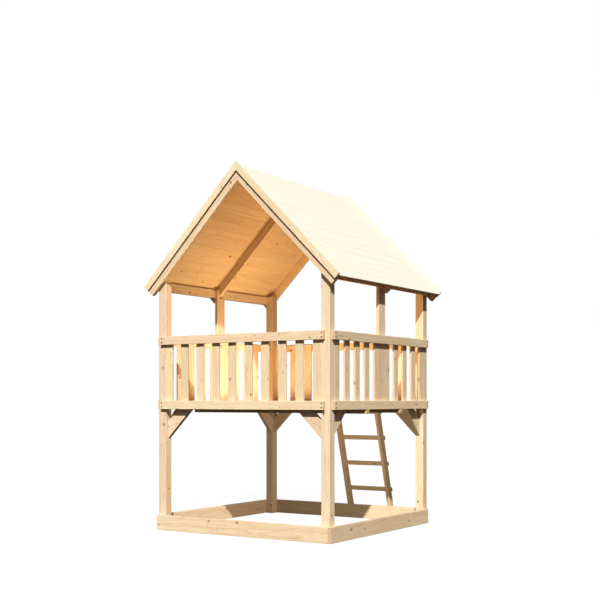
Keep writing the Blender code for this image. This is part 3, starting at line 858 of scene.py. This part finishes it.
def steel_with_painted_hole_shade(name):
    """Zinc-plated steel dulled outdoors, drawn near black: partly its own colour and partly painted shade of
    the countersunk hole round the head, with rougher blots of corrosion, 2 mm wide.
    """
    material, tree = bare_material(name)
    place = add(tree, "TexCoord", {})["Object"]
    blots = add(tree, "TexNoise", {"Vector": place, "Scale": BLOTS_PER_METRE, "Detail": 3.0})[0]
    share = add(tree, "MapRange", [blots, 0.4, 0.65])[0]
    # Both colours are near black, partly painted shade of the countersunk holes.
    inputs = {MIX_SHARE: share, MIX_FROM: linear("#241d17"), MIX_TO: linear("#140f0a")}
    colour = add(tree, "Mix", inputs, data_type="RGBA")[MIX_OUT]
    rough = add(tree, "MapRange", [blots, 0.4, 0.65, 0.45, 0.75])[0]
    bump = add(tree, "Bump", {"Height": blots, "Strength": 0.4, "Distance": 0.0002})[0]
    inputs = {"Base Color": colour, "Metallic": 0.2, "Roughness": rough, "Normal": bump}
    add(tree, "OutputMaterial", {"Surface": add(tree, "BsdfPrincipled", inputs)[0]})
    return material


SCREW = steel_with_painted_hole_shade("zinc-plated steel with painted hole shade")

# %% Screw heads
HEAD_SEGMENTS = 12
HEAD_RADII = np.array([0.0008, 0.0031, 0.0035, 0.0076, 0.0090, 0.0090])
HEAD_HEIGHTS = np.array([-0.0016, -0.0014, 0.0003, 0.0003, 0.0001, -0.0006])
RECESS_RINGS = np.array([1, 1, 1, 0, 0, 0])
LOBES, LOBE_DEPTH = 6, 0.14


def screw_heads(name, places, normal):
    """Every head is one surface of two parameters, the place on its profile and the angle round its axis: the
    radius, in the recess waved six times round, goes sideways, and the height along the normal, which is one
    of the axes."""
    angle = np.arange(HEAD_SEGMENTS) * 2 * np.pi / HEAD_SEGMENTS
    wave = 1 + LOBE_DEPTH * RECESS_RINGS[:, None] * np.cos(LOBES * angle)
    side = np.cross(normal, AXES[np.argmin(np.abs(normal))])
    other = np.cross(normal, side)
    around = np.cos(angle)[:, None] * side + np.sin(angle)[:, None] * other
    head = (HEAD_RADII[:, None] * wave)[..., None] * around + HEAD_HEIGHTS[:, None, None] * normal
    rings = len(HEAD_RADII)
    points = np.array(places)[:, None, None, :] + head
    one = grid_faces(rings, HEAD_SEGMENTS, turned=True)
    step = rings * HEAD_SEGMENTS
    faces = [[corner + i * step for corner in face] for i in range(len(places)) for face in one]
    piece = shaped(name, points, faces, SCREW)
    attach(piece, "root")


RAIL_SCREW_APART = 0.040
END_INSETS = (0.018, 0.026)
OUTWARD = {"front": -AXES[1], "back": AXES[1], "left": -AXES[0], "right": AXES[0]}
for side, along in SIDES.items():
    places = []
    for node in (f"lower_rail_{side}", f"railing_{side}"):
        low, high = corners(node)
        face = high if side in ("back", "right") else low
        middle = high[2] - RAIL_HEIGHT / 2
        for end in (low[along] + END_INSETS[along], high[along] - END_INSETS[along]):
            for up in (-RAIL_SCREW_APART / 2, RAIL_SCREW_APART / 2):
                place = np.array(face)
                place[along], place[2] = end, middle + up
                places.append(place)
    screw_heads(f"rail_screws_{side}", places, OUTWARD[side])
    print(f"screws {side}: {len(places)}")

# %% [markdown]
# ## Floor of the studio
# A wide sheet of white paper lies under the tower. It mostly glows by itself, a little short of full white, so
# the sun's shadow on it stays faint and the timber's edges stay sharp against it. It throws no light up, which
# keeps the shaded faces of the timber dark.

# %% Studio floor
PAPER_RINGS = np.array([3.0, 8.0, 20.0, 60.0])
PAPER_SEGMENTS = 48
PAPER_DROP = 0.001
PAPER_WHITE, PAPER_ROUGHNESS, PAPER_GLOW = (0.045, 0.045, 0.045, 1), 0.9, 0.955
angle = np.arange(PAPER_SEGMENTS) * 2 * np.pi / PAPER_SEGMENTS
ring = PAPER_RINGS[:, None, None] * np.stack([np.cos(angle), np.sin(angle), 0 * angle], -1)
ring[..., 2] = -PAPER_DROP
paper, tree = bare_material("white paper sweep")
inputs = {"Base Color": PAPER_WHITE, "Roughness": PAPER_ROUGHNESS, "Emission Color": (1, 1, 1, 1)}
inputs["Emission Strength"] = PAPER_GLOW
add(tree, "OutputMaterial", {"Surface": add(tree, "BsdfPrincipled", inputs)[0]})
faces = grid_faces(len(PAPER_RINGS), PAPER_SEGMENTS, turned=True)[:-1]
studio_floor = shaped("studio_floor", ring, faces, paper)
studio_floor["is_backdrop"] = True
studio_floor.visible_diffuse = studio_floor.visible_glossy = studio_floor.visible_shadow = False
print("studio floor", 2 * PAPER_RINGS[-1], "m across")

# %% [markdown]
# ## Sun
# The photograph's light comes from high on the right, in front of the tower: front faces are bright, right
# faces a little darker, and the roof's right slope is brightest. The edge of a rail's shadow gives the turn
# and the height of that light.

# %% Sun
SUN_TURN, SUN_HEIGHT = math.radians(31.8), math.radians(38.4)
SUN_STRENGTH = 5.03
SUN_COLOUR = (1.0, 0.99, 0.97)
SUN_WIDTH = math.radians(1.2)
level = math.cos(SUN_HEIGHT)
toward = Vector((math.sin(SUN_TURN) * level, -math.cos(SUN_TURN) * level, math.sin(SUN_HEIGHT)))
sun = bpy.data.lights.new("sun", "SUN")
sun.energy, sun.color, sun.angle = SUN_STRENGTH, SUN_COLOUR, SUN_WIDTH
sun_object = placed("sun", sun)
sun_object.rotation_mode = "QUATERNION"
sun_object.rotation_quaternion = toward.to_track_quat("Z", "Y")
print("light from", [round(value, 3) for value in toward])

# %% [markdown]
# ## Warm light from lit wood
# Under the roof the wood glows orange, because light gets there only after it has met wood before. Warm lamps
# stand in for these many bounces: one lies on the platform's floor, a little to the back, where the sun falls,
# and shines up, and one stands low between the posts and lights the ladder and the back posts. Light linking
# tells a lamp which pieces it leaves out, such as those seen from outside. Two more lamps, in the same places
# but weaker, light only what gets less of the glow: the back left post above, and below it the braces at the
# back right post and the pit's back board.


# %% Lamps in the tower
def area_lamp(name, energy, colour, size, place, turn, starts, state="EXCLUDE"):
    """A glowing rectangle that the camera doesn't see. It leaves out the pieces whose names start with one of
    the starts, or lights only them where state is INCLUDE."""
    lamp = bpy.data.lights.new(name, "AREA")
    lamp.shape = "RECTANGLE"
    lamp.size, lamp.size_y = size
    lamp.energy, lamp.color = energy, colour
    lamp_object = placed(name, lamp)
    lamp_object.location, lamp_object.rotation_euler = place, turn
    lamp_object.visible_camera = False
    linked = bpy.data.collections.new(f"linked_to_{name}")
    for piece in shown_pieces():
        if piece.name.startswith(starts):
            linked.objects.link(piece)
    for member in linked.collection_objects:
        member.light_linking.link_state = state
    lamp_object.light_linking.receiver_collection = linked


DARK_POST = ("corner_post_back_left",)
EAVES = tuple(f"roof_board_{side}_{len(roof_joints)}" for side in ("left", "right"))
EAVES += (f"roof_board_right_{len(roof_joints) - 1}",)
DARK_RAFTERS = ("roof_rafter_middle_right", "roof_rafter_back_right")
SEEN_OUTSIDE = ("gable", "wall_plate_right", "slat_front", "slat_right", "rail_high_front", "rail_high_right")
UNDER_THE_PLATFORM = ("ledger", "joist", "floor_board", "rail_low")
FRONT_LEFT_BRACES = ("knee_brace_front_left", "knee_brace_left_front")
LESS_LIT_BELOW = ("knee_brace_back_right", "knee_brace_right_back", "pit_board_back")

GLOW_ENERGY = 27.7
GLOW_COLOUR = (1.0, 0.70, 0.39)
GLOW_SIZE = (1.7, 1.2)
GLOW_PLACE = (0, TOWER_Y + 0.16, floor_z1 + 0.02)
UPWARDS = (math.pi, 0, 0)
DARK_POST_SHARE = 0.39
lamp = (GLOW_COLOUR, GLOW_SIZE, GLOW_PLACE, UPWARDS)
area_lamp("floor_glow", GLOW_ENERGY, *lamp, EAVES + DARK_RAFTERS + SEEN_OUTSIDE + DARK_POST)
area_lamp("post_glow", DARK_POST_SHARE * GLOW_ENERGY, *lamp, DARK_POST, "INCLUDE")

LOW_ENERGY = 13.5
LOW_COLOUR = (1.0, 0.82, 0.63)
LOW_SIZE = (1.0, 0.9)
LOW_PLACE = (RIGHT - 0.20, FRONT + 0.95, 0.70)
LOW_TURN = (0, math.radians(90), math.radians(-24))
LESS_LIT_SHARE = 0.38
lamp = (LOW_COLOUR, LOW_SIZE, LOW_PLACE, LOW_TURN)
area_lamp("low_glow", LOW_ENERGY, *lamp, UNDER_THE_PLATFORM + FRONT_LEFT_BRACES + LESS_LIT_BELOW)
area_lamp("less_low_glow", LESS_LIT_SHARE * LOW_ENERGY, *lamp, LESS_LIT_BELOW, "INCLUDE")

# %% [markdown]
# ## Surround
# A pale surround fills the shade. The camera sees it as plain white. The wood gets a dim and slightly warm
# light from it, weaker from below, where the real ground would shade it, and from the side of the sun.

# %% Surround
FILL_BELOW, FILL_ABOVE, FILL_CHANGE = 0.03, 0.28, 0.4
FILL_COLOUR = (1.0, 0.92, 0.80, 1)
LESS_FROM_RIGHT = 0.20
world = bpy.data.worlds.new("surround")
bpy.context.scene.world = world
world.use_nodes = True
sky = world.node_tree
sky.nodes.clear()
seen = add(sky, "Background", {"Color": (1, 1, 1, 1), "Strength": 1.0})[0]
heading = add(sky, "SeparateXYZ", [add(sky, "TexCoord", {})["Generated"]])
inputs = {0: heading["Z"], 1: -FILL_CHANGE, 2: FILL_CHANGE, 3: FILL_BELOW, 4: FILL_ABOVE}
strength = add(sky, "MapRange", inputs)[0]
turned = add(sky, "Math", [heading["X"], -LESS_FROM_RIGHT, 1.0], "MULTIPLY_ADD")[0]
strength = add(sky, "Math", [strength, turned], "MULTIPLY")[0]
fill = add(sky, "Background", {"Color": FILL_COLOUR, "Strength": strength})[0]
path = add(sky, "LightPath", {})["Is Camera Ray"]
surround = add(sky, "MixShader", [path, fill, seen])[0]
add(sky, "OutputWorld", {"Surface": surround})
bpy.context.scene.view_settings.view_transform = "Standard"
print("surround: strength", FILL_BELOW, "from below to", FILL_ABOVE, "from above")

# %% [markdown]
# ## Camera
# The photograph was taken from the front right, 33 degrees round from the front, level, from just above the
# height of the platform's floor. The place, the turn and the focal length were solved from edges of posts and
# rails. A level camera keeps the posts upright, so the frame is shifted upwards to hold the roof.

# %% Camera
CAMERA_FROM_POST = (7.0171, -8.3642)
CAMERA_HEIGHT = 1.2948
CAMERA_TURN = -0.5685
FOCAL_PIXELS = 1083.75
HORIZON_PIXEL = 399.81
PHOTO_SIZE = 600
camera = bpy.data.cameras.new("photo_camera")
camera.sensor_width = 36.0
camera.lens = FOCAL_PIXELS / PHOTO_SIZE * camera.sensor_width
camera.shift_y = (HORIZON_PIXEL - PHOTO_SIZE / 2) / PHOTO_SIZE
camera_object = placed("photo_camera", camera)
camera_object.location = (LEFT + CAMERA_FROM_POST[0], FRONT + CAMERA_FROM_POST[1], CAMERA_HEIGHT)
camera_object.rotation_euler = (math.radians(90), 0, -CAMERA_TURN)
bpy.context.scene.camera = camera_object
print("camera at", [round(value, 3) for value in camera_object.location], "lens", round(camera.lens, 2))
